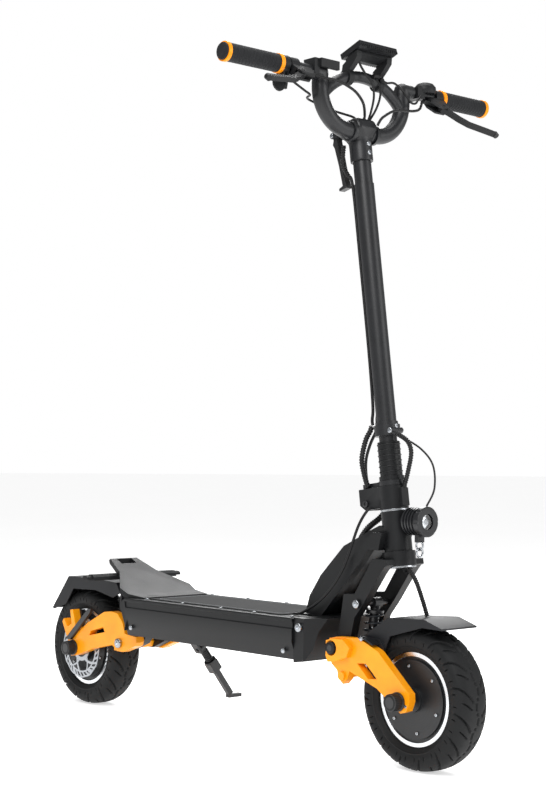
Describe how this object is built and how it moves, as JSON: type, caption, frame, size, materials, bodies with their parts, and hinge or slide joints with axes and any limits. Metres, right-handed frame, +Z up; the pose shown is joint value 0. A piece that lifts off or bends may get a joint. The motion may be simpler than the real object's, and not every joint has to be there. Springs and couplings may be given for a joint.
{
  "type": "electric kick scooter",
  "caption": "Folding electric kick scooter with hub-motor wheels on orange swing arms, coil-over shocks, a wide flat deck, a raked stem and a lyre-shaped handlebar with controls.",
  "frame": {"origin": "on the ground, midway between the two axles, on the scooter's middle plane", "axes": "+X forward along the direction of travel, +Y to the rider's left, +Z up"},
  "size_m": [1.255, 0.69, 1.3228],
  "materials": {
    "black_coat": "satin black powder coat with a fine grain",
    "deck_lid": "fine textured black powder coat",
    "deck_mat": "matt rubber with a fine pattern and a grey border line",
    "battery_wrap": "shrink wrap",
    "controller_case": "plain cast",
    "bearing_steel": "ground and polished",
    "fender_plastic": "fine moulded grain",
    "bright_bolts": "polished",
    "dark_bolts": "black oxide, satin",
    "lamp_body": "satin anodised black, finned",
    "lamp_lens": "clear, over a bright reflector",
    "dark_steel": "black zinc, satin",
    "cable_jacket": "smooth satin jacket",
    "damper_black": "satin black",
    "damper_rod": "polished",
    "spring_steel": "gloss dark grey",
    "orange_coat": "satin orange powder coat",
    "caliper_black": "satin black",
    "tyre": "matt, with curved tread grooves",
    "rim_silver": "machined, clear coated",
    "hub_black": "satin black with a turned face",
    "disc_steel": "ground, with turned lines",
    "stem_black": "satin anodised black",
    "sleeve_black": "satin black",
    "grip_rubber": "matt, ribbed",
    "orange_ring": "satin anodised orange",
    "control_plastic": "fine moulded grain",
    "display_case": "dark case with a glossy screen",
    "lever_black": "satin black",
    "horn_red": "smooth"
  },
  "bodies": {
    "frame": {"deck_shell": "black_coat", "deck_plate": "deck_lid", "deck_mat": "deck_mat", "battery_pack": "battery_wrap", "controllers": "controller_case", "neck": "black_coat", "head_bearings": "bearing_steel", "tail_plate": "deck_lid", "deck_bolts": "bright_bolts", "rear_pins": "bright_bolts", "headlamp": "lamp_body", "headlamp_lens": "lamp_lens", "kickstand_mount": "dark_steel", "neck_cables": "cable_jacket"},
    "steering": {"fork": "black_coat", "steerer": "bearing_steel", "hinge_block": "black_coat", "fork_pins": "dark_bolts", "fork_cable": "cable_jacket", "hinge_cables": "cable_jacket"},
    "front_damper": {"front_shock_body": "damper_black", "front_shock_spring": "spring_steel"},
    "front_piston": {"front_shock_rod": "damper_rod"},
    "front_swing_arm": {"front_arms": "orange_coat", "front_axle": "dark_steel", "front_fender": "fender_plastic", "front_caliper": "caliper_black"},
    "front_wheel": {"front_tyre": "tyre", "front_rim": "rim_silver", "front_hub": "hub_black", "front_disc": "disc_steel"},
    "rear_swing_arm": {"rear_arms": "orange_coat", "rear_axle": "dark_steel", "rear_caliper": "caliper_black", "rear_fender": "fender_plastic"},
    "rear_wheel": {"rear_tyre": "tyre", "rear_rim": "rim_silver", "rear_hub": "hub_black", "rear_disc": "disc_steel"},
    "rear_damper": {"rear_shock_body": "damper_black", "rear_shock_spring": "spring_steel"},
    "rear_piston": {"rear_shock_rod": "damper_rod"},
    "stem": {"stem_tube": "stem_black", "stem_yoke": "stem_black", "handlebar": "stem_black", "grips": "grip_rubber", "grip_rings": "orange_ring", "brake_perches": "control_plastic", "throttle_pod": "control_plastic", "switch_pods": "control_plastic", "display": "display_case", "display_bracket": "control_plastic", "stem_cables": "cable_jacket"},
    "sleeve": {"lock_sleeve": "sleeve_black"},
    "hook": {"fold_hook": "dark_steel"},
    "right_lever": {"brake_lever_right": "lever_black"},
    "left_lever": {"brake_lever_left": "lever_black"},
    "throttle": {"throttle_paddle": "control_plastic"},
    "kickstand": {"kickstand_leg": "dark_steel"},
    "horn": {"horn_button": "horn_red"}
  },
  "joints": [
    {"name": "steer", "type": "hinge", "parent": "frame", "child": "steering", "pos_m": [0.441, 0, 0.358], "axis": [-0.1357, 0, 0.9907], "range_deg": [-35, 35], "deforming": ["neck_cables"]},
    {"name": "front_arm_swing", "type": "hinge", "parent": "steering", "child": "front_swing_arm", "pos_m": [0.34, 0, 0.207], "axis": [0, -1, 0], "range_deg": [0, 7], "stiffness_Nm_per_rad": 2500, "deforming": ["fork_cable"]},
    {"name": "rear_arm_swing", "type": "hinge", "parent": "frame", "child": "rear_swing_arm", "pos_m": [-0.327, 0, 0.153], "axis": [0, 1, 0], "range_deg": [0, 5], "stiffness_Nm_per_rad": 3500},
    {"name": "front_shock_tilt", "type": "hinge", "parent": "steering", "child": "front_damper", "pos_m": [0.38, 0, 0.288], "axis": [0, -1, 0], "range_deg": [0, 2.44]},
    {"name": "rear_shock_tilt", "type": "hinge", "parent": "frame", "child": "rear_damper", "pos_m": [-0.288, 0, 0.232], "axis": [0, -1, 0], "range_deg": [-1.44, 0]},
    {"name": "front_shock_stroke", "type": "slide", "parent": "front_damper", "child": "front_piston", "axis": [0.1446, 0, 0.9895], "range_m": [0, 0.0037], "deforming": ["front_shock_spring"]},
    {"name": "rear_shock_stroke", "type": "slide", "parent": "rear_damper", "child": "rear_piston", "axis": [0.9453, 0, 0.3263], "range_m": [0, 0.00558], "deforming": ["rear_shock_spring"]},
    {"name": "front_wheel_spin", "type": "hinge", "parent": "front_swing_arm", "child": "front_wheel", "pos_m": [0.5, 0, 0.1275], "axis": [0, 1, 0], "continuous": true},
    {"name": "rear_wheel_spin", "type": "hinge", "parent": "rear_swing_arm", "child": "rear_wheel", "pos_m": [-0.5, 0, 0.1275], "axis": [0, 1, 0], "continuous": true},
    {"name": "stem_fold", "type": "hinge", "parent": "steering", "child": "stem", "pos_m": [0.37538, 0, 0.46862], "axis": [0, -1, 0], "range_deg": [0, 80], "deforming": ["hinge_cables"]},
    {"name": "lock_sleeve_lift", "type": "slide", "parent": "stem", "child": "sleeve", "axis": [-0.1357, 0, 0.9907], "range_m": [0, 0.01], "stiffness_N_per_m": 1500, "springref_m": -0.004},
    {"name": "hook_swing", "type": "hinge", "parent": "stem", "child": "hook", "pos_m": [0.27084, 0, 1.16548], "axis": [0, 1, 0], "range_deg": [0, 25], "stiffness_Nm_per_rad": 0.6, "springref_deg": -11.46},
    {"name": "right_brake_pull", "type": "hinge", "parent": "stem", "child": "right_lever", "pos_m": [0.36475, -0.18, 1.2396], "axis": [0.5878, 0, 0.809], "range_deg": [-16, 0], "stiffness_Nm_per_rad": 3, "springref_deg": 8.59},
    {"name": "left_brake_pull", "type": "hinge", "parent": "stem", "child": "left_lever", "pos_m": [0.36028, 0.196, 1.23463], "axis": [0.7431, 0, 0.6691], "range_deg": [0, 16], "stiffness_Nm_per_rad": 3, "springref_deg": -8.59},
    {"name": "throttle_press", "type": "hinge", "parent": "stem", "child": "throttle", "pos_m": [0.34087, -0.203, 1.23441], "axis": [0, -1, 0], "range_deg": [0, 15], "stiffness_Nm_per_rad": 0.6, "springref_deg": -11.46},
    {"name": "horn_press", "type": "slide", "parent": "stem", "child": "horn", "axis": [1, 0, 0], "range_m": [0, 0.0025], "stiffness_N_per_m": 400, "springref_m": -0.001},
    {"name": "kickstand_swing", "type": "hinge", "parent": "frame", "child": "kickstand", "pos_m": [-0.141, 0.012, 0.158], "axis": [0, 0.7986, 0.6018], "range_deg": [0, 68]}
  ],
  "couplings": [
    {"joint": "front_shock_tilt", "follows": "front_arm_swing", "ratio": 0.3416},
    {"joint": "front_shock_stroke", "follows": "front_arm_swing", "m_per_rad": 0.029658},
    {"joint": "rear_shock_tilt", "follows": "rear_arm_swing", "ratio": -0.2817},
    {"joint": "rear_shock_stroke", "follows": "rear_arm_swing", "m_per_rad": 0.062724}
  ]
}
